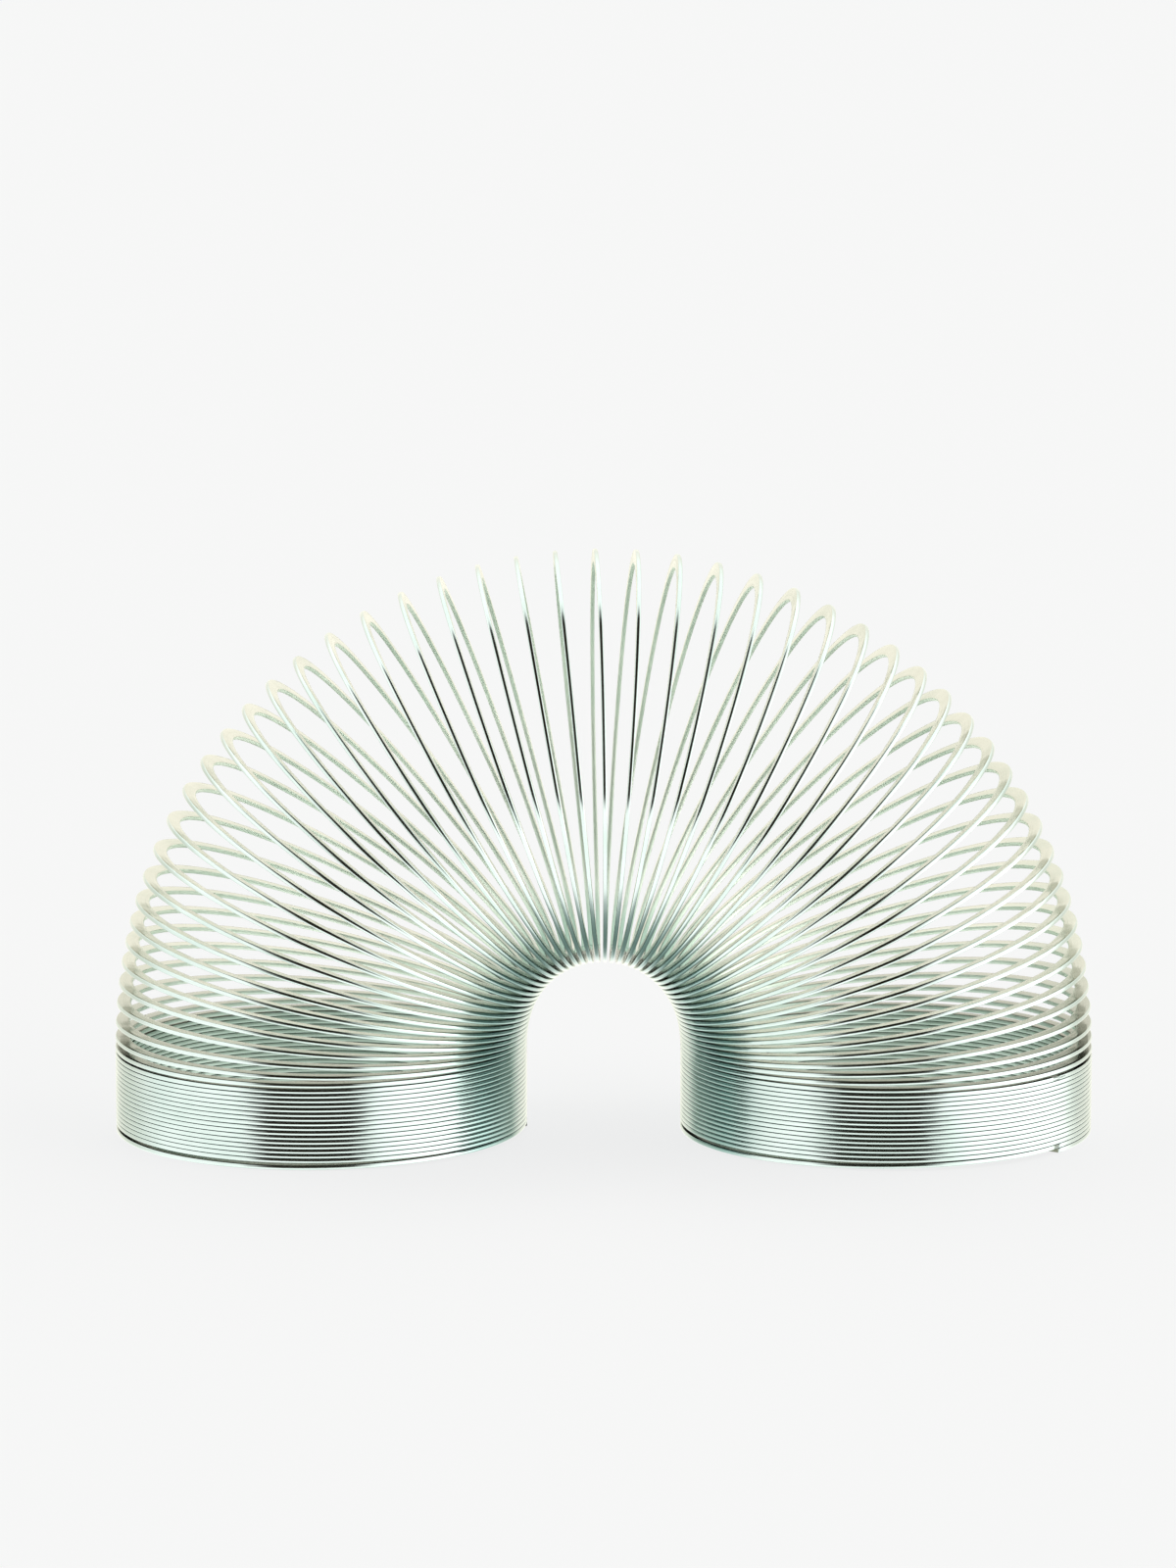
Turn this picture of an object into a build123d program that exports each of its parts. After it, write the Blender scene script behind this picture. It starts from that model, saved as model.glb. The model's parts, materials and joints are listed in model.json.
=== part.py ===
from build123d import *
import os
from math import cos, pi, radians, sin

# A walking coil spring: one flat steel wire wound edge-on into a coil, standing as an arch on
# its two closed ends. Millimetres, +Z up, +X from the left foot to the right foot. The origin
# is on the floor, midway between the outermost points of the two feet.
# The wire is divided at the inside of every open turn, where a turn hinges on the next one.

# --- the wire and the coil
OUTER_DIAMETER = 70.0
WIRE_WIDTH = 2.4
WIRE_THICKNESS = 0.68
WIRE_RADIUS = (OUTER_DIAMETER - WIRE_WIDTH) / 2  # coil axis to the middle of the wire

# --- the two feet, where the turns lie closed
CLOSED_PITCH = 0.78
LEFT_FOOT_TURNS = 16.0
RIGHT_FOOT_TURNS = 16.6
FLAT_SHARE = 0.6  # how much of the lowest turn lies flat on the floor

# --- the arch, where the turns are open like a fan
OPEN_TURNS = 53
INNER_PITCH = 0.74  # at the foot end of the arch
CROWN_PITCH = 1.16
ARCH_ANGLE = 180.0
# how far the turns open, at equal steps from the left foot, over the crown, to the right foot
OPENING = (0.1, 2.3, 2.3, 4.0, 3.9, 5.1, 4.6, 5.0, 4.6, 3.9, 3.6, 2.8, 2.3, 0.9)
CUT_GAP = 0.03  # between one turn's end face and the next one's

# --- smoothness of the lofts
STATIONS = 16  # sections in one full turn
RAMP_STATIONS = 8  # sections where the lowest turn climbs


def opening_at(share):
    """How far a turn opens, before scaling, at this share of the arch (0 left, 1 right)."""
    place = share * (len(OPENING) - 1)
    step = min(int(place), len(OPENING) - 2)
    blend = (1 - cos(pi * (place - step))) / 2
    return OPENING[step] * (1 - blend) + OPENING[step + 1] * blend


def inner_pitch_at(share):
    """Climb of the coil's inner side per turn: closest at the feet, widest at the crown."""
    return INNER_PITCH + (CROWN_PITCH - INNER_PITCH) * sin(pi * share) ** 2


def turn_openings():
    """Angle in degrees through which each open turn leans; together they make the arch."""
    raw = [opening_at(k / (OPEN_TURNS - 1)) for k in range(OPEN_TURNS)]
    return [ARCH_ANGLE * a / sum(raw) for a in raw]


def foot_rise(turns):
    """Height of the wire above its own end: flat on the floor, then one pitch per turn."""
    if turns <= FLAT_SHARE:
        return 0.0
    if turns >= 1:
        return CLOSED_PITCH * turns
    s = (turns - FLAT_SHARE) / (1 - FLAT_SHARE)
    end_slope = 1 - FLAT_SHARE
    return CLOSED_PITCH * (s * s * (3 - 2 * s) + end_slope * s * s * (s - 1))


def inner_points():
    """The (x, z, lean) of the wire at the inside of the arch, at each cut between turns."""
    openings = turn_openings()
    leans = [radians(sum(openings[:k])) for k in range(OPEN_TURNS + 1)]
    steps = []
    for k in range(OPEN_TURNS):
        pitch = inner_pitch_at((k + 0.5) / OPEN_TURNS)
        middle = (leans[k] + leans[k + 1]) / 2
        steps.append([pitch * sin(middle), pitch * cos(middle)])
    # the right leg is trimmed to come down exactly onto its own foot
    climb = sum(dz for dx, dz in steps if dz > 0)
    fall = sum(-dz for dx, dz in steps if dz <= 0)
    left_top = foot_rise(LEFT_FOOT_TURNS) + WIRE_THICKNESS / 2
    right_top = foot_rise(RIGHT_FOOT_TURNS) + WIRE_THICKNESS / 2
    trim = (left_top + climb - right_top) / fall
    steps = [[dx, dz if dz > 0 else dz * trim] for dx, dz in steps]
    x = -sum(dx for dx, dz in steps) / 2
    z = left_top
    points = [(x, z, 0.0)]
    for (dx, dz), lean in zip(steps, leans[1:]):
        x += dx
        z += dz
        points.append((x, z, lean))
    return points


def station(x, z, lean, angle):
    """Plane of one wire section: angle runs round the coil from its inner side."""
    outward = Vector(-cos(lean), 0, sin(lean))
    along = Vector(sin(lean), 0, cos(lean))
    radial = outward * -cos(angle) + Vector(0, 1, 0) * sin(angle)
    centre = Vector(x, 0, z) + outward * WIRE_RADIUS
    return Plane(origin=centre + radial * WIRE_RADIUS, x_dir=radial, z_dir=radial.cross(along))


def between(a, b, share):
    return [p + (q - p) * share for p, q in zip(a, b)]


def make_length(name, planes):
    """One length of the flat wire, lofted through its stations."""
    with BuildPart() as length:
        for plane in planes:
            with BuildSketch(plane):
                Rectangle(WIRE_WIDTH, WIRE_THICKNESS)
        loft()
    save(length, name)


def make_turn(name, low, high):
    """One open turn, from its cut on the inner side, round the back, tip and front, to the next."""
    edge = CUT_GAP / 2 / WIRE_RADIUS
    shares = [k / STATIONS for k in range(STATIONS + 1)]
    angles = [edge + (2 * pi - 2 * edge) * s for s in shares]
    planes = [station(*between(low, high, a / (2 * pi)), a) for a in angles]
    make_length(name, planes)


def save(builder, name):
    builder.part.label = name
    export_step(builder.part, f"parts/{name}.step")


def foot_station(foot, turns):
    """Section of the wire in a foot, this many turns up from the wire's own cut end."""
    centre_x, end_angle = foot
    angle = end_angle + 2 * pi * turns
    radial = Vector(cos(angle), sin(angle), 0)
    tangent = Vector(-sin(angle), cos(angle), 0)
    centre = Vector(centre_x, 0, foot_rise(turns) + WIRE_THICKNESS / 2)
    return Plane(origin=centre + radial * WIRE_RADIUS, x_dir=radial, z_dir=tangent)


def make_end_turn(name, foot):
    """The lowest turn: flat on the floor, then climbing over the wire's own cut end."""
    upright = Axis((foot[0], 0, 0), (0, 0, 1))
    steps = range(RAMP_STATIONS + 1)
    ramp = [foot_station(foot, FLAT_SHARE + (1 - FLAT_SHARE) * k / RAMP_STATIONS) for k in steps]
    with BuildPart() as end_turn:
        with BuildSketch(foot_station(foot, 0)):
            Rectangle(WIRE_WIDTH, WIRE_THICKNESS)
        revolve(axis=upright, revolution_arc=360 * FLAT_SHARE)
        for plane in ramp:
            with BuildSketch(plane):
                Rectangle(WIRE_WIDTH, WIRE_THICKNESS)
        loft()
    save(end_turn, name)


def make_foot(side, foot, turns):
    """The end turn of a foot and the closed turns lying on it, as two lengths of the wire."""
    make_end_turn(f"{side}_end_turn", foot)
    count = round((turns - 1) * STATIONS)
    stations = [foot_station(foot, 1 + (turns - 1) * k / count) for k in range(count + 1)]
    make_length(f"{side}_foot_coils", stations)


os.makedirs("parts", exist_ok=True)
POINTS = inner_points()
FOOT_CENTRE = POINTS[-1][0] + WIRE_RADIUS

make_foot("left", (-FOOT_CENTRE, 0.0), LEFT_FOOT_TURNS)
for k in range(OPEN_TURNS):
    make_turn(f"turn_{k + 1:02d}", POINTS[k], POINTS[k + 1])
make_foot("right", (FOOT_CENTRE, pi - 2 * pi * RIGHT_FOOT_TURNS), RIGHT_FOOT_TURNS)
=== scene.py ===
# %% [markdown]
# # A walking coil spring, wound the way its maker winds it
#
# The whole toy is one long piece of bright flat wire: seventy millimetres across, standing as an
# arch on its two closed ends. The CAD model is loaded first and stays where it is. It says where
# every turn of the coil lies and which turn hinges on which, and the lesson then winds a finer
# wire along exactly the same path and gives it its finish. Every length is in metres.

# %% Load the frame
import json
import math

import bmesh
import bpy
from mathutils import Matrix, Vector


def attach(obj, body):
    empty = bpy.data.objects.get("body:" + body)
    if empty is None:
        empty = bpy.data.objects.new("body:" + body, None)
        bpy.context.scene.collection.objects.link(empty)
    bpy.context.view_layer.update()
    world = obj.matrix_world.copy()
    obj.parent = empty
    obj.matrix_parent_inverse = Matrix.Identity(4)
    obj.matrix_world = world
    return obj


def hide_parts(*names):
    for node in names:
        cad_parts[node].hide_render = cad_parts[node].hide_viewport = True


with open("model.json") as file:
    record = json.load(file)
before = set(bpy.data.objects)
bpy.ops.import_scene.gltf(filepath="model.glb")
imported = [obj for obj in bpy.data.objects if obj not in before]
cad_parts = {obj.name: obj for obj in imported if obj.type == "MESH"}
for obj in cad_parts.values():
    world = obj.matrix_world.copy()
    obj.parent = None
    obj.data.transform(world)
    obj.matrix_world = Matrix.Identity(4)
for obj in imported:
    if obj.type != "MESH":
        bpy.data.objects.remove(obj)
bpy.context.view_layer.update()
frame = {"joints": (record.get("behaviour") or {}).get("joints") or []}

# %% [markdown]
# ## The maker's numbers
#
# A coil spring of this kind is wound edge-on from flat wire, so that its turns stack like coins.
# The few numbers below drive the CAD model too. They are written again here, in metres, so that
# the drawn wire lies exactly on the solid one. The opening list says how far the turns spread on
# the way over the arch: a spring that stands on its own weight never spreads quite evenly.

# %% The wire, the coil and its feet
MM = 0.001
COIL_DIAMETER = 70.0 * MM
WIRE_WIDTH = 2.4 * MM
WIRE_THICKNESS = 0.68 * MM
WIRE_RADIUS = (COIL_DIAMETER - WIRE_WIDTH) / 2

CLOSED_PITCH = 0.78 * MM
LEFT_FOOT_TURNS = 16.0
RIGHT_FOOT_TURNS = 16.6
FLAT_SHARE = 0.6

OPEN_TURNS = 53
INNER_PITCH = 0.74 * MM
CROWN_PITCH = 1.16 * MM
ARCH_ANGLE = math.pi
OPENING = (0.1, 2.3, 2.3, 4.0, 3.9, 5.1, 4.6, 5.0, 4.6, 3.9, 3.6, 2.8, 2.3, 0.9)
CUT_GAP = 0.03 * MM

ONE_TURN = math.tau * WIRE_RADIUS
turns_in_all = LEFT_FOOT_TURNS + OPEN_TURNS + RIGHT_FOOT_TURNS
print("turns:", turns_in_all, "- wire in metres:", round(turns_in_all * ONE_TURN, 2))

# %% [markdown]
# ## Where each turn starts
#
# On the inside of the arch the turns almost touch, and on the outside they fan apart. So the path
# is laid out along the inside: each step is one pitch long, and each turn leans a little further
# than the one before, through half a circle in all. Laying it out from the inside keeps the turns
# from running into each other. The hinges of the frame sit on the same points, which gives the
# lesson a check: the worst difference is printed, and it should be nothing.

# %% The inside of the arch
def opening_at(share):
    """How far a turn opens at this share of the way over the arch, before scaling."""
    place = share * (len(OPENING) - 1)
    step = min(int(place), len(OPENING) - 2)
    blend = (1 - math.cos(math.pi * (place - step))) / 2
    return OPENING[step] * (1 - blend) + OPENING[step + 1] * blend


def foot_rise(turns):
    """Height of the wire above its cut end: flat on the floor first, then one pitch per turn."""
    if turns <= FLAT_SHARE:
        return 0.0
    if turns >= 1:
        return CLOSED_PITCH * turns
    s = (turns - FLAT_SHARE) / (1 - FLAT_SHARE)
    return CLOSED_PITCH * (s * s * (3 - 2 * s) + (1 - FLAT_SHARE) * s * s * (s - 1))


def inner_points():
    """The inner side of the wire at each cut between two turns, as (x, z, lean)."""
    raw = [opening_at(k / (OPEN_TURNS - 1)) for k in range(OPEN_TURNS)]
    leans = [ARCH_ANGLE * sum(raw[:k]) / sum(raw) for k in range(OPEN_TURNS + 1)]
    steps = []
    for k in range(OPEN_TURNS):
        swell = math.sin(math.pi * (k + 0.5) / OPEN_TURNS) ** 2
        pitch = INNER_PITCH + (CROWN_PITCH - INNER_PITCH) * swell
        middle = (leans[k] + leans[k + 1]) / 2
        steps.append((pitch * math.sin(middle), pitch * math.cos(middle)))
    climb = sum(dz for dx, dz in steps if dz > 0)
    fall = sum(-dz for dx, dz in steps if dz <= 0)
    left_top = foot_rise(LEFT_FOOT_TURNS) + WIRE_THICKNESS / 2
    right_top = foot_rise(RIGHT_FOOT_TURNS) + WIRE_THICKNESS / 2
    trim = (left_top + climb - right_top) / fall
    points = [(-sum(dx for dx, dz in steps) / 2, left_top, 0.0)]
    for (dx, dz), lean in zip(steps, leans[1:]):
        x, z = points[-1][:2]
        points.append((x + dx, z + (dz if dz > 0 else dz * trim), lean))
    return points


ARCH = inner_points()
FOOT_CENTRE = ARCH[-1][0] + WIRE_RADIUS
hinges = [Vector(joint["pos_m"]) for joint in frame["joints"]]
worst = max((Vector((x, 0, z)) - pin).length for (x, z, lean), pin in zip(ARCH, hinges))
print("feet stand at +-", round(FOOT_CENTRE / MM, 2), "mm")
print("worst hinge difference in mm:", round(worst / MM, 4))

# %% [markdown]
# ## The section of the wire
#
# Flat spring wire is round wire that has been through rollers. The rollers leave two flat faces,
# and two edges that keep a low crown, like the edge of a coin rubbed smooth. The crowned edges draw
# every bright and dark line that a coil spring shows, so they are worth their own faces. The
# section starts as a flat grid three cells wide. Its corners are beveled until both ends are half
# circles, the ends are squashed down to the crown, and then the cells are taken away so that only
# the outline is left. The extra points on each face keep its middle truly flat in the shading.
#
# Each point also remembers its place in the wire: how far along, how far across, and how far up.
# The finish reads that place later, so that its lines follow the wire round every bend. A second
# mark, the place in the coil, is laid out empty here and filled in when the coil is wound.

# %% The outline of one section
EDGE_CROWN = 0.12 * MM
CORNER_STEPS = 5
MERGE_WITHIN = 0.001 * MM


def turn_round(bm, verts, angle, axis):
    """Turns vertices about one of the origin's axes."""
    bmesh.ops.rotate(bm, verts=verts, cent=(0, 0, 0), matrix=Matrix.Rotation(angle, 3, axis))


def wire_section(bm):
    """The outline of the wire where it crosses the X axis of a coil centred on the origin."""
    made = bmesh.ops.create_grid(bm, x_segments=3, y_segments=1, size=0.5)
    bmesh.ops.scale(bm, verts=made["verts"], vec=(WIRE_WIDTH, WIRE_THICKNESS, 1))
    corners = [v for v in bm.verts if len(v.link_edges) == 2]
    bmesh.ops.bevel(
        bm, geom=corners, affect="VERTICES", offset=WIRE_THICKNESS / 2, offset_type="OFFSET",
        segments=CORNER_STEPS, profile=0.5, material=-1)
    bmesh.ops.remove_doubles(bm, verts=bm.verts, dist=MERGE_WITHIN)
    bmesh.ops.delete(bm, geom=bm.faces[:], context="FACES_KEEP_BOUNDARY")
    round_from = (WIRE_WIDTH - WIRE_THICKNESS) / 2
    squash = EDGE_CROWN / (WIRE_THICKNESS / 2)
    for side in (-1, 1):
        end = [v for v in bm.verts if v.co.x * side > round_from - 10 * MERGE_WITHIN]
        about = Matrix.Translation((-side * round_from, 0, 0))
        bmesh.ops.scale(bm, verts=end, vec=(squash, 1, 1), space=about)
        bmesh.ops.translate(bm, verts=end, vec=(side * (WIRE_THICKNESS / 2 - EDGE_CROWN), 0, 0))
    bm.verts.layers.float_vector.new("coil_place")
    place = bm.verts.layers.float_vector.new("wire_place")
    for v in bm.verts:
        v[place] = (0, v.co.x, v.co.y)
    turn_round(bm, bm.verts, math.pi / 2, "X")
    bmesh.ops.translate(bm, verts=bm.verts, vec=(WIRE_RADIUS, 0, 0))
    return len(bm.verts)


probe = bmesh.new()
print("points round one section:", wire_section(probe))
reach = [v.co.x - WIRE_RADIUS for v in probe.verts]
print("section in mm:", round((max(reach) - min(reach)) / MM, 3), "wide")
probe.free()

# %% [markdown]
# ## Winding
#
# A winder feeds the wire round a mandrel. Spin is the same motion in mesh form: it carries the
# outline round an axis and leaves a skin behind it, and its offset lifts it a little at each step,
# which makes a helix. Spinning many turns in one go is slow, because every step looks through the
# whole mesh again, so one turn is spun and then stacked as often as it is needed.

# %% Spin a length of wire
STEPS_PER_TURN = 120


def wind(bm, share, rise=0.0, start=0.0):
    """Spins this share of a turn, rising this much on the way, from this angle. Gives its rings."""
    around = wire_section(bm)
    steps = max(1, round(share * STEPS_PER_TURN))
    turn_round(bm, bm.verts, start, "Z")
    bmesh.ops.spin(
        bm, geom=bm.verts[:] + bm.edges[:], cent=(0, 0, 0), axis=(0, 0, 1),
        dvec=(0, 0, rise / steps), angle=math.tau * share, steps=steps,
        use_merge=False, use_duplicate=False)
    bm.verts.ensure_lookup_table()
    rings = [bm.verts[k * around:(k + 1) * around] for k in range(steps + 1)]
    place = bm.verts.layers.float_vector["wire_place"]
    for k, ring in enumerate(rings):
        for v in ring:
            v[place].x = ONE_TURN * share * k / steps
    return rings


def stack(bm, times, rise):
    """Stacks copies of one wound turn, each one rise above the last."""
    place = bm.verts.layers.float_vector["wire_place"]
    first = bm.verts[:] + bm.edges[:] + bm.faces[:]
    for k in range(1, times):
        copy = bmesh.ops.duplicate(bm, geom=first)["geom"]
        verts = [item for item in copy if isinstance(item, bmesh.types.BMVert)]
        bmesh.ops.translate(bm, verts=verts, vec=(0, 0, rise * k))
        for v in verts:
            v[place].x += ONE_TURN * k


trial = bmesh.new()
rings = wind(trial, 1.0, rise=CLOSED_PITCH)
tops = [max(v.co.z for v in ring) for ring in (rings[0], rings[-1])]
print("one turn has", len(trial.faces), "faces and rises", round((tops[1] - tops[0]) / MM, 3), "mm")
trial.free()

# %% [markdown]
# ## From a winding to a piece
#
# Every length ends the same way: the seams of its turns are merged, its two open ends are closed,
# its faces are turned outwards and shaded smooth. The wire's place is moved on to where this
# length starts in the whole wire, so that the finish runs on from one turn to the next. Then the
# piece is told which body it rides on, takes its name from the CAD node it stands for, and that
# node is hidden.
#
# Before that, while its coil is still centred on the origin, a length is marked with two more
# numbers that the finish will read: how nearly each point faces the other leg of the arch (1 on the
# inner side, -1 on the outer) and how closed the coil is there (1 in the feet, 0 in the fan).

# %% Finish a length
pieces = []


def mark_inner_side(bm, side, closed):
    """Writes down how far each point of a centred coil faces the inside of the arch."""
    coil_place = bm.verts.layers.float_vector["coil_place"]
    for v in bm.verts:
        v[coil_place] = (side * v.co.x / math.hypot(v.co.x, v.co.y), closed, 0)


def finish_length(bm, node, body, starts_at):
    """Closes a winding, makes it a piece and lets it ride on its body."""
    bmesh.ops.remove_doubles(bm, verts=bm.verts, dist=MERGE_WITHIN)
    ends = [edge for edge in bm.edges if edge.is_boundary]
    bmesh.ops.holes_fill(bm, edges=ends, sides=0)
    bmesh.ops.recalc_face_normals(bm, faces=bm.faces)
    place = bm.verts.layers.float_vector["wire_place"]
    for v in bm.verts:
        v[place].x += starts_at * ONE_TURN
    for face in bm.faces:
        face.smooth = len(face.verts) == 4
    mesh = bpy.data.meshes.new(node + "_wire")
    bm.to_mesh(mesh)
    bm.free()
    piece = bpy.data.objects.new(node + "_wire", mesh)
    bpy.context.collection.objects.link(piece)
    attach(piece, body)
    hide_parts(node)
    pieces.append(piece)
    return piece


# %% [markdown]
# ## The two feet
#
# At both ends the coil is closed: the turns lie on each other and make a short tube that it stands
# on. The last turn of all lies flat on the floor for a little more than half its way and only then
# starts to climb, because the winder stops its feed before it cuts the wire. That end turn is
# wound level and lifted ring by ring. The closed turns above it are one turn, stacked, with the
# part turn of the right foot added on top.

# %% Wind the feet
def place_foot(bm, centre_x, angle):
    """Turns a foot's winding to the angle it starts at, and puts it where the foot stands."""
    turn_round(bm, bm.verts, angle, "Z")
    mark_inner_side(bm, 1 if centre_x < 0 else -1, 1.0)
    bmesh.ops.translate(bm, verts=bm.verts, vec=(centre_x, 0, WIRE_THICKNESS / 2))


def wind_end_turn(side, centre_x, end_angle, starts_at):
    """The end turn, level first and then climbing."""
    bm = bmesh.new()
    rings = wind(bm, 1.0)
    for k, ring in enumerate(rings):
        bmesh.ops.translate(bm, verts=ring, vec=(0, 0, foot_rise(k / STEPS_PER_TURN)))
    place_foot(bm, centre_x, end_angle)
    return finish_length(bm, f"{side}_end_turn", f"{side}_foot", starts_at)


def wind_foot_coils(side, centre_x, end_angle, turns, starts_at):
    """The closed turns above the end turn."""
    bm = bmesh.new()
    wind(bm, 1.0, rise=CLOSED_PITCH)
    stack(bm, int(turns - 1), CLOSED_PITCH)
    part = turns - int(turns)
    if part > 0:
        extra = bmesh.new()
        wind(extra, part, rise=CLOSED_PITCH * part)
        bmesh.ops.translate(extra, verts=extra.verts, vec=(0, 0, CLOSED_PITCH * int(turns - 1)))
        rest = bpy.data.meshes.new("part_turn")
        extra.to_mesh(rest)
        extra.free()
        bm.from_mesh(rest)
        bpy.data.meshes.remove(rest)
    bmesh.ops.translate(bm, verts=bm.verts, vec=(0, 0, foot_rise(1.0)))
    place_foot(bm, centre_x, end_angle)
    return finish_length(bm, f"{side}_foot_coils", f"{side}_foot", starts_at)


right_start = LEFT_FOOT_TURNS + OPEN_TURNS
right_end_angle = math.pi - math.tau * RIGHT_FOOT_TURNS
for foot in (
    wind_end_turn("left", -FOOT_CENTRE, 0.0, 0),
    wind_foot_coils("left", -FOOT_CENTRE, 0.0, LEFT_FOOT_TURNS, 1),
    wind_end_turn("right", FOOT_CENTRE, right_end_angle, right_start),
    wind_foot_coils("right", FOOT_CENTRE, right_end_angle, RIGHT_FOOT_TURNS, right_start + 1),
):
    print(foot.name, "has", len(foot.data.polygons), "faces")

# %% [markdown]
# ## The open turns
#
# Between the feet every turn stands at its own lean. A leaning turn is a level one whose rings are
# tilted one after another, each about the inner point of the arch that belongs to it, so the turn
# leaves its lower neighbour in line and meets its upper one in line. The turns stay separate
# pieces, cut by a hair's breadth on the inner side, because that is where they hinge.

# %% Wind the open turns
FOOT_BLEND = 6  # turns over which the closed foot becomes the open fan


def wind_open_turn(k):
    """Open turn k: one level turn, leaned ring by ring from one inner point to the next."""
    gap = CUT_GAP / ONE_TURN
    bm = bmesh.new()
    rings = wind(bm, 1.0 - gap, start=math.pi * gap)
    from_foot = min(k, OPEN_TURNS - 1 - k)
    mark_inner_side(bm, 1, max(0.0, 1.0 - from_foot / FOOT_BLEND))
    bmesh.ops.translate(bm, verts=bm.verts, vec=(-WIRE_RADIUS, 0, 0))
    for i, ring in enumerate(rings):
        share = gap / 2 + (1 - gap) * i / STEPS_PER_TURN
        x, z, lean = [a + (b - a) * share for a, b in zip(ARCH[k], ARCH[k + 1])]
        turn_round(bm, ring, lean, "Y")
        bmesh.ops.translate(bm, verts=ring, vec=(x, 0, z))
    name = f"turn_{k + 1:02d}"
    return finish_length(bm, name, name, LEFT_FOOT_TURNS + k)


open_turns = [wind_open_turn(k) for k in range(OPEN_TURNS)]
print(len(open_turns), "open turns of", len(open_turns[0].data.polygons), "faces each")

# %% [markdown]
# ## Small tools for shader nodes
#
# Every effect of the finish is a node group: a small machine with named inputs and outputs that can
# be built once and read on its own. The groups are made of the same few nodes over and over, so a
# handful of helpers adds one node each and hands back its output, ready for the next node.

# %% Helpers that add one node
def new_group(name, inputs, outputs):
    """An empty shader node group with these sockets. Gives its tree and its two end nodes."""
    tree = bpy.data.node_groups.new(name, "ShaderNodeTree")
    for label, kind, value in inputs:
        socket = tree.interface.new_socket(name=label, in_out="INPUT", socket_type=kind)
        if value is not None:
            socket.default_value = value
    for label, kind in outputs:
        tree.interface.new_socket(name=label, in_out="OUTPUT", socket_type=kind)
    return tree, tree.nodes.new("NodeGroupInput"), tree.nodes.new("NodeGroupOutput")


def set_input(tree, socket, value):
    """Links a socket to an input, or sets the input to a plain value."""
    if isinstance(value, bpy.types.NodeSocket):
        tree.links.new(value, socket)
    else:
        socket.default_value = value


def add_maths(tree, operation, *values, clamp=False):
    """A Math node on sockets or numbers. Gives its output."""
    node = tree.nodes.new("ShaderNodeMath")
    node.operation = operation
    node.use_clamp = clamp
    for slot, value in enumerate(values):
        set_input(tree, node.inputs[slot], value)
    return node.outputs[0]


def add_range(tree, value, low, high):
    """A smooth ramp from nothing at one value to one at another. Gives its output."""
    node = tree.nodes.new("ShaderNodeMapRange")
    node.interpolation_type = "SMOOTHSTEP"
    tree.links.new(value, node.inputs["Value"])
    node.inputs["From Min"].default_value = low
    node.inputs["From Max"].default_value = high
    return node.outputs["Result"]


def add_split(tree, vector):
    """Takes a vector apart. Gives its three outputs."""
    node = tree.nodes.new("ShaderNodeSeparateXYZ")
    tree.links.new(vector, node.inputs[0])
    return node.outputs


def add_vector(tree, operation, vector, by):
    """A Vector Math node with a fixed second vector. Gives the node."""
    node = tree.nodes.new("ShaderNodeVectorMath")
    node.operation = operation
    tree.links.new(vector, node.inputs[0])
    node.inputs[1].default_value = by
    return node


def add_noise(tree, vector, scale, detail, roughness=0.5):
    """Noise at a scale that is a socket. Gives its grey output."""
    node = tree.nodes.new("ShaderNodeTexNoise")
    tree.links.new(vector, node.inputs["Vector"])
    tree.links.new(scale, node.inputs["Scale"])
    node.inputs["Detail"].default_value = detail
    node.inputs["Roughness"].default_value = roughness
    return node.outputs["Fac"]


def add_mix(tree, share, a, b, blend="MIX"):
    """Mixes two colours by a share. Gives its output."""
    node = tree.nodes.new("ShaderNodeMix")
    node.data_type = "RGBA"
    node.blend_type = blend
    for slot, value in ((0, share), (6, a), (7, b)):
        set_input(tree, node.inputs[slot], value)
    return node.outputs[2]


print("helpers ready for", len(pieces), "pieces")

# %% [markdown]
# ## Marks that the rollers leave
#
# Drawn and rolled wire is never a perfect mirror. Fine lines run along it, closely spaced across
# and very long, because each is the track of one rough spot in the die. Noise gives them when its
# place is stretched: squeezed across the wire and drawn out along it. The group puts out the
# lines as a mask for roughness, and the same lines as a height for the bump.

# %% Node group: drawn lines
LINES_PER_METRE = 5000.0
LINE_STRETCH = 0.004  # of the place along the wire, so a line is 250 times as long as wide
LINE_SHOWS = (0.42, 0.68)

drawn_lines, enter, leave = new_group(
    "drawn_lines",
    [("Place", "NodeSocketVector", None), ("Lines per metre", "NodeSocketFloat", LINES_PER_METRE)],
    [("Lines", "NodeSocketFloat"), ("Height", "NodeSocketFloat")])
squeeze = add_vector(drawn_lines, "MULTIPLY", enter.outputs["Place"], (LINE_STRETCH, 1, 1))
tracks = add_noise(drawn_lines, squeeze.outputs[0], enter.outputs["Lines per metre"], 4, 0.65)
drawn_lines.links.new(add_range(drawn_lines, tracks, *LINE_SHOWS), leave.inputs["Lines"])
drawn_lines.links.new(tracks, leave.inputs["Height"])
print("drawn lines, about one every", round(1000 / LINES_PER_METRE, 2), "mm across the wire")

# %% [markdown]
# ## The slow waves of a rolled edge
#
# Rollers bear on the wire a little unevenly, and the winder's mandrel adds its own wobble. So an
# edge that looks straight tilts by a degree or two, back and forth, every centimetre or so. The eye
# misses that, but a mirror does not: a reflection that crosses many turns ends a little sooner on
# one turn and a little later on the next. These waves run along the wire only.

# %% Node group: rolling waves
WAVE_LENGTH = 9 * MM
WAVE_SPREAD = 0.05  # how little a wave changes across the wire

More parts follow.
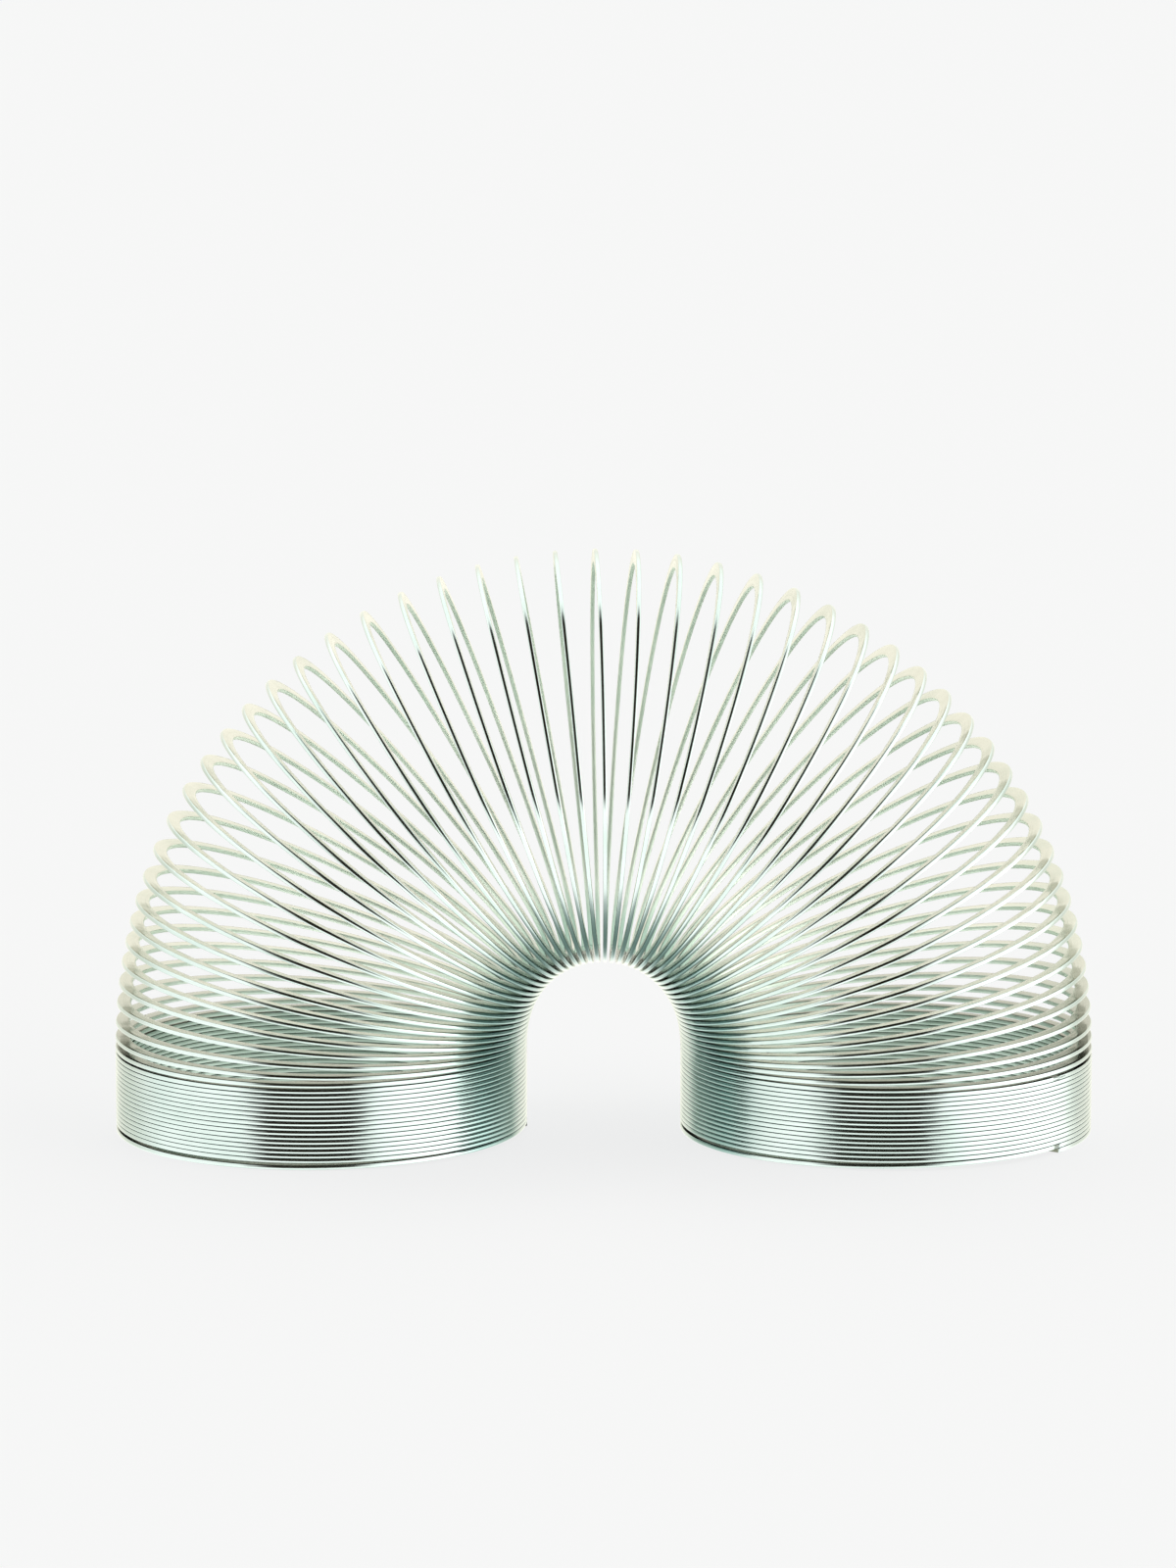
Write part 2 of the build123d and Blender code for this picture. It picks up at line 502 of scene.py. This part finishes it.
rolling_waves, enter, leave = new_group(
    "rolling_waves",
    [("Place", "NodeSocketVector", None), ("Waves per metre", "NodeSocketFloat", 1 / WAVE_LENGTH)],
    [("Height", "NodeSocketFloat")])
along_only = add_vector(
    rolling_waves, "MULTIPLY", enter.outputs["Place"], (1, WAVE_SPREAD, WAVE_SPREAD))
swells = add_noise(rolling_waves, along_only.outputs[0], enter.outputs["Waves per metre"], 1.5)
rolling_waves.links.new(swells, leave.inputs["Height"])
print("rolling waves, one about every", round(WAVE_LENGTH / MM), "mm")

# %% [markdown]
# ## Where the wire is polished and where it is dull
#
# The outer edge of the coil rubs through hands and over stairs and stays mirror bright. The inner
# edge was pressed against the mandrel and is a little duller, and so are the flat faces, which
# slide on each other. The place across the wire tells the three apart.

# %% Node group: edge polish
EDGE_BEGINS, EDGE_FULL = 0.84, 0.92  # as shares of half the wire's width

edge_polish, enter, leave = new_group(
    "edge_polish",
    [("Place", "NodeSocketVector", None), ("Half width", "NodeSocketFloat", WIRE_WIDTH / 2)],
    [("Outer edge", "NodeSocketFloat"), ("Inner edge", "NodeSocketFloat")])
place_across = add_split(edge_polish, enter.outputs["Place"])["Y"]
across = add_maths(edge_polish, "DIVIDE", place_across, enter.outputs["Half width"])
for label, side in (("Outer edge", 1), ("Inner edge", -1)):
    mask = add_range(edge_polish, across, side * EDGE_BEGINS, side * EDGE_FULL)
    edge_polish.links.new(mask, leave.inputs[label])
print("edge polish reads the place across a wire", round(WIRE_WIDTH / MM, 2), "mm wide")

# %% [markdown]
# ## Handling
#
# A toy that has been played with carries a thin, uneven film: fingerprints, a trace of oil, the
# first dulling of the plating. It is a slow cloud over the whole coil, so it reads the object's
# own coordinates and not the wire's.

# %% Node group: handling film
PATCHES_PER_METRE = 60.0
FILM_SHOWS = (0.40, 0.66)

handling_film, enter, leave = new_group(
    "handling_film",
    [("Vector", "NodeSocketVector", None),
     ("Patches per metre", "NodeSocketFloat", PATCHES_PER_METRE)],
    [("Film", "NodeSocketFloat")])
clouds = add_noise(
    handling_film, enter.outputs["Vector"], enter.outputs["Patches per metre"], 3, 0.55)
handling_film.links.new(add_range(handling_film, clouds, *FILM_SHOWS), leave.inputs["Film"])
print("handling film, patches about", round(1000 / PATCHES_PER_METRE), "mm across")

# %% [markdown]
# ## Painted shade where the turns crowd together
#
# On the inner side of the arch the turns almost touch, and in the feet they do. There the wire
# mirrors little but its own neighbours and the other leg, so it looks deeper and more blue-green
# than out in the fan. The render alone shows that too weakly, so a mask paints part of that shade
# and those dark reflections into the wire's colour: painted shade, not a colour of the metal. The
# group turns the two marks of a coil into masks: one for the side that faces the other leg, one for
# its very rim, where it looks out under the arch and the painted shade is lifted so that it is pale
# again, and one for closed turns.

# %% Node group: painted shade where the turns crowd
CROWD_BEGINS = 0.57  # cosine of the angle round from the inner side of the arch
CROWD_EASES_IN = 0.25
RIM_BEGINS, RIM_FULL = 0.93, 0.98

painted_crowd_shade, enter, leave = new_group(
    "painted_crowd_shade",
    [("Coil place", "NodeSocketVector", None), ("Begins", "NodeSocketFloat", CROWD_BEGINS)],
    [("Inner side", "NodeSocketFloat"), ("Rim", "NodeSocketFloat"), ("Closed", "NodeSocketFloat")])
marks = add_split(painted_crowd_shade, enter.outputs["Coil place"])
past = add_maths(painted_crowd_shade, "SUBTRACT", marks["X"], enter.outputs["Begins"])
inner_side = add_range(painted_crowd_shade, past, 0.0, CROWD_EASES_IN)
rim = add_range(painted_crowd_shade, marks["X"], RIM_BEGINS, RIM_FULL)
for label, mask in (("Inner side", inner_side), ("Rim", rim), ("Closed", marks["Y"])):
    painted_crowd_shade.links.new(mask, leave.inputs[label])
starts_at = round(math.degrees(math.acos(CROWD_BEGINS)))
print("crowded turns begin", starts_at, "degrees round from the inner side")

# %% [markdown]
# ## The colours of bright wire
#
# The metal is plated steel: a mirror with a slightly cool cast. The base colour of a metal is what
# it does to white light. The flats are a touch warmer than the edges, and the film takes a little
# brightness away. Crowded and closed turns get painted shade on top of that, darkest on the flats
# of closed turns, where the turns lie on each other.

# %% The tint of the wire
EDGE_TINT = (0.50, 0.575, 0.57, 1)
FLAT_TINT = (0.55, 0.56, 0.50, 1)
INNER_TINT = (0.77, 0.87, 0.77, 1)
FILM_TINT = (0.88, 0.92, 0.90, 1)
# painted shade: the deep blue-green of the side that faces the other leg
CROWDED_PAINTED_SHADE = (0.43, 0.56, 0.54, 1)
# painted shade: the closed turns of the feet, away from their outer edge
CLOSED_PAINTED_SHADE = (0.54, 0.60, 0.60, 1)
# painted shade: deepest on the flats of closed turns, where the turns lie on each other
CLOSED_FLATS_PAINTED_SHADE = (0.48, 0.46, 0.40, 1)
# where the painted shade begins on the inner edges, later on the way to the inner side
INSIDE_DELAY = 0.17  # inner edges turn deep later on the way to the inner side

bright_wire = bpy.data.materials.new("bright_wire")
bright_wire.use_nodes = True
tree = bright_wire.node_tree
shader = tree.nodes["Principled BSDF"]


def read_group(group, label, vector):
    """Places a group in the material and feeds its place. Gives the node."""
    node = tree.nodes.new("ShaderNodeGroup")
    node.node_tree = group
    tree.links.new(vector, node.inputs[label])
    return node


def read_mark(name):
    """Reads a mark that the winding left on the wire's points."""
    node = tree.nodes.new("ShaderNodeAttribute")
    node.attribute_name = name
    return node.outputs["Vector"]


wire_place = read_mark("wire_place")
own_place = tree.nodes.new("ShaderNodeTexCoord").outputs["Object"]
lines = read_group(drawn_lines, "Place", wire_place)
polish = read_group(edge_polish, "Place", wire_place)
waves = read_group(rolling_waves, "Place", wire_place)
film = read_group(handling_film, "Vector", own_place)
crowd = read_group(painted_crowd_shade, "Coil place", read_mark("coil_place"))
outer_edge, inner_edge = polish.outputs["Outer edge"], polish.outputs["Inner edge"]
closed = crowd.outputs["Closed"]
begins = add_maths(tree, "MULTIPLY_ADD", inner_edge, INSIDE_DELAY, CROWD_BEGINS)
tree.links.new(begins, crowd.inputs["Begins"])

not_outer = add_maths(tree, "SUBTRACT", 1.0, outer_edge)
flat_only = add_maths(tree, "SUBTRACT", not_outer, inner_edge, clamp=True)
# painted shade mask: the side facing the other leg, lifted on the outer edge at the very rim
pale_rim = add_maths(tree, "MULTIPLY", crowd.outputs["Rim"], outer_edge)
not_pale = add_maths(tree, "MULTIPLY_ADD", pale_rim, -1.0, 1.0)
crowded = add_maths(tree, "MULTIPLY", crowd.outputs["Inner side"], not_pale)

tint = add_mix(tree, outer_edge, FLAT_TINT, EDGE_TINT)
tint = add_mix(tree, inner_edge, tint, INNER_TINT)
# the film first, then painted shade: closed turns, their flats, and the crowded inner side
for share, deeper in (
    (film.outputs["Film"], FILM_TINT),
    (add_maths(tree, "MULTIPLY", closed, not_outer), CLOSED_PAINTED_SHADE),
    (add_maths(tree, "MULTIPLY", closed, flat_only), CLOSED_FLATS_PAINTED_SHADE),
    (crowded, CROWDED_PAINTED_SHADE),
):
    tint = add_mix(tree, share, tint, deeper, "MULTIPLY")
tree.links.new(tint, shader.inputs["Base Color"])
print("tint mixed, nodes so far:", len(tree.nodes))

# %% [markdown]
# ## The surface of bright wire
#
# Roughness starts at that of a good mirror, and the drawn lines, the inner edge and the film each
# add to it. The inner edge also loses some of its metal look, since a dull edge scatters light
# like paint. Two bumps lie one under the other: the slow waves, and the fine lines.

# %% Roughness, metal and bump
MIRROR_ROUGHNESS = 0.10
LINES_ADD = 0.10
INSIDE_ADDS = 0.35
FILM_ADDS = 0.06
INSIDE_MATT = 0.4
WAVE_HEIGHT = 0.22 * MM
LINE_HEIGHT = 0.01 * MM
LINE_STRENGTH = 0.25

rough = add_maths(tree, "MULTIPLY_ADD", lines.outputs["Lines"], LINES_ADD, MIRROR_ROUGHNESS)
rough = add_maths(tree, "ADD", rough, add_maths(tree, "MULTIPLY", inner_edge, INSIDE_ADDS))
rough = add_maths(
    tree, "ADD", rough, add_maths(tree, "MULTIPLY", film.outputs["Film"], FILM_ADDS))
tree.links.new(rough, shader.inputs["Roughness"])
tree.links.new(
    add_maths(tree, "MULTIPLY_ADD", inner_edge, -INSIDE_MATT, 1.0), shader.inputs["Metallic"])


def add_bump(height, strength, distance):
    """A Bump node on a height. Gives the node."""
    node = tree.nodes.new("ShaderNodeBump")
    node.inputs["Strength"].default_value = strength
    node.inputs["Distance"].default_value = distance
    tree.links.new(height, node.inputs["Height"])
    return node


slow_bump = add_bump(waves.outputs["Height"], 1.0, WAVE_HEIGHT)
fine_bump = add_bump(lines.outputs["Height"], LINE_STRENGTH, LINE_HEIGHT)
tree.links.new(slow_bump.outputs["Normal"], fine_bump.inputs["Normal"])
tree.links.new(fine_bump.outputs["Normal"], shader.inputs["Normal"])

for piece in pieces:
    piece.data.materials.append(bright_wire)
print("bright wire on", len(pieces), "pieces, with", len(tree.nodes), "nodes")

# %% [markdown]
# ## The floor
#
# The toy stands on a plain pale table. The table glows a little by itself, which thins the
# shadows as a lit sweep does, and it is hidden from mirrors: the wire reflects the studio instead.

# %% Lay the floor
FLOOR_RADIUS = 30.0
TABLE_COLOUR = (0.100, 0.102, 0.102, 1)
TABLE_GLOW = (0.800, 0.802, 0.806, 1)

bm = bmesh.new()
bmesh.ops.create_circle(bm, cap_ends=True, segments=64, radius=FLOOR_RADIUS)
floor_mesh = bpy.data.meshes.new("floor")
bm.to_mesh(floor_mesh)
bm.free()
floor = bpy.data.objects.new("floor", floor_mesh)
bpy.context.collection.objects.link(floor)
floor.visible_glossy = False
pale_table = bpy.data.materials.new("pale_table")
pale_table.use_nodes = True
table_shader = pale_table.node_tree.nodes["Principled BSDF"]
table_shader.inputs["Base Color"].default_value = TABLE_COLOUR
table_shader.inputs["Roughness"].default_value = 0.8
table_shader.inputs["Specular IOR Level"].default_value = 0.0
table_shader.inputs["Emission Color"].default_value = TABLE_GLOW
table_shader.inputs["Emission Strength"].default_value = 1.0
floor_mesh.materials.append(pale_table)
print("floor", round(floor.dimensions.x), "m across")

# %% [markdown]
# ## The studio
#
# Mirror-bright wire shows its room more than itself. This room is a white tent with light from
# both sides, stronger from the right. Between the two lights, in front of the toy and over its
# head, runs a dark gap: the open front of the tent, where the maker stands. Every crowned edge
# turns that gap into one thin black line beside a white one. The back wall is a warmer white, and
# straight below, the wire sees the table in the toy's own shade. The room is painted by direction
# on the world, so that it stays where it is when the toy is looked at from another side.

# %% The colours of the room and where they lie
WHITE = (1.95, 1.94, 1.84, 1)
BACK_WALL = (1.20, 1.17, 1.02, 1)
LEFT_WALL = (1.75, 1.72, 1.64, 1)
RIGHT_LAMP = (3.60, 3.40, 3.30, 1)
GAP_BLACK = (0.030, 0.024, 0.015, 1)
OWN_SHADE = (0.50, 0.58, 0.53, 1)
BACKDROP = (0.93, 0.93, 0.93, 1)

# each wall fades in from the first number to the second, as a direction's share of that way
WALLS_UP_TO = (0.65, 0.15)
BACK_WALL_AT = (0.1, 0.7)
LEFT_WALL_AT = (-0.5, -0.9)
RIGHT_LAMP_AT = (0.6, 0.9)
GAP_RIGHT_SIDE = (0.58, 0.30)
GAP_LEFT_SIDE = (-0.725, -0.445)
GAP_FRONT = (0.25, 0.05)
GAP_FOOT = (-0.36, -0.22)
SHADE_TOWARDS = (0, 0.31, -0.95)
SHADE_AT = (0.72, 0.95)
print("brightest light:", max(RIGHT_LAMP))

# %% Paint the room
world = bpy.data.worlds.new("studio")
bpy.context.scene.world = world
world.use_nodes = True
room = world.node_tree
room.nodes.clear()
direction = room.nodes.new("ShaderNodeTexCoord").outputs["Generated"]
right, back, up = add_split(room, direction)

near_horizon = add_range(room, add_maths(room, "ABSOLUTE", up), *WALLS_UP_TO)
at_back, at_left, at_right = (
    add_maths(room, "MULTIPLY", add_range(room, way, *limits), near_horizon)
    for way, limits in ((back, BACK_WALL_AT), (right, LEFT_WALL_AT), (right, RIGHT_LAMP_AT)))

gap = add_range(room, right, *GAP_RIGHT_SIDE)
for way, limits in ((right, GAP_LEFT_SIDE), (back, GAP_FRONT), (up, GAP_FOOT)):
    gap = add_maths(room, "MULTIPLY", gap, add_range(room, way, *limits))

towards_shade = add_vector(room, "DOT_PRODUCT", direction, SHADE_TOWARDS)
in_shade = add_range(room, towards_shade.outputs["Value"], *SHADE_AT)

walls = WHITE
for share, colour in (
    (at_left, LEFT_WALL), (at_right, RIGHT_LAMP), (in_shade, OWN_SHADE),
    (at_back, BACK_WALL), (gap, GAP_BLACK),
):
    walls = add_mix(room, share, walls, colour)
lit_room = room.nodes.new("ShaderNodeBackground")
room.links.new(walls, lit_room.inputs["Color"])
print("room painted with", len(room.nodes), "nodes")

# %% [markdown]
# ## A plain backdrop
#
# The camera itself should see none of the room, only an even pale grey that the floor runs into.
# Light Path tells a ray from the camera apart from one that a mirror sent on.

# %% Hang the backdrop
plain_back = room.nodes.new("ShaderNodeBackground")
plain_back.inputs["Color"].default_value = BACKDROP
ray = room.nodes.new("ShaderNodeLightPath")
choose = room.nodes.new("ShaderNodeMixShader")
world_out = room.nodes.new("ShaderNodeOutputWorld")
for out, into in (
    (ray.outputs["Is Camera Ray"], choose.inputs[0]),
    (lit_room.outputs[0], choose.inputs[1]),
    (plain_back.outputs[0], choose.inputs[2]),
    (choose.outputs[0], world_out.inputs[0]),
):
    room.links.new(out, into)
bpy.context.scene.view_settings.view_transform = "Standard"
print("backdrop brightness:", BACKDROP[0])

# %% [markdown]
# ## The camera
#
# The camera stands a little above the table and far enough away that the front and the back of
# the coil are drawn almost the same size, as a long lens does.

# %% Set the camera
CAMERA_DISTANCE = 1.2
CAMERA_ELEVATION = math.radians(10.3)
STANDS_OVER = 0.045
LOOKS_AT = (-0.00266, 0, 0.0592)
LENS_MM = 162.5
SENSOR_MM = 36

lens = bpy.data.cameras.new("camera")
lens.lens = LENS_MM
lens.sensor_width = SENSOR_MM
camera = bpy.data.objects.new("camera", lens)
bpy.context.collection.objects.link(camera)
camera.location = (
    0, -CAMERA_DISTANCE * math.cos(CAMERA_ELEVATION),
    STANDS_OVER + CAMERA_DISTANCE * math.sin(CAMERA_ELEVATION))
aim = Vector(LOOKS_AT) - camera.location
camera.rotation_mode = "QUATERNION"
camera.rotation_quaternion = aim.to_track_quat("-Z", "Y")
bpy.context.scene.camera = camera
print("camera", round(aim.length, 3), "m from what it looks at")
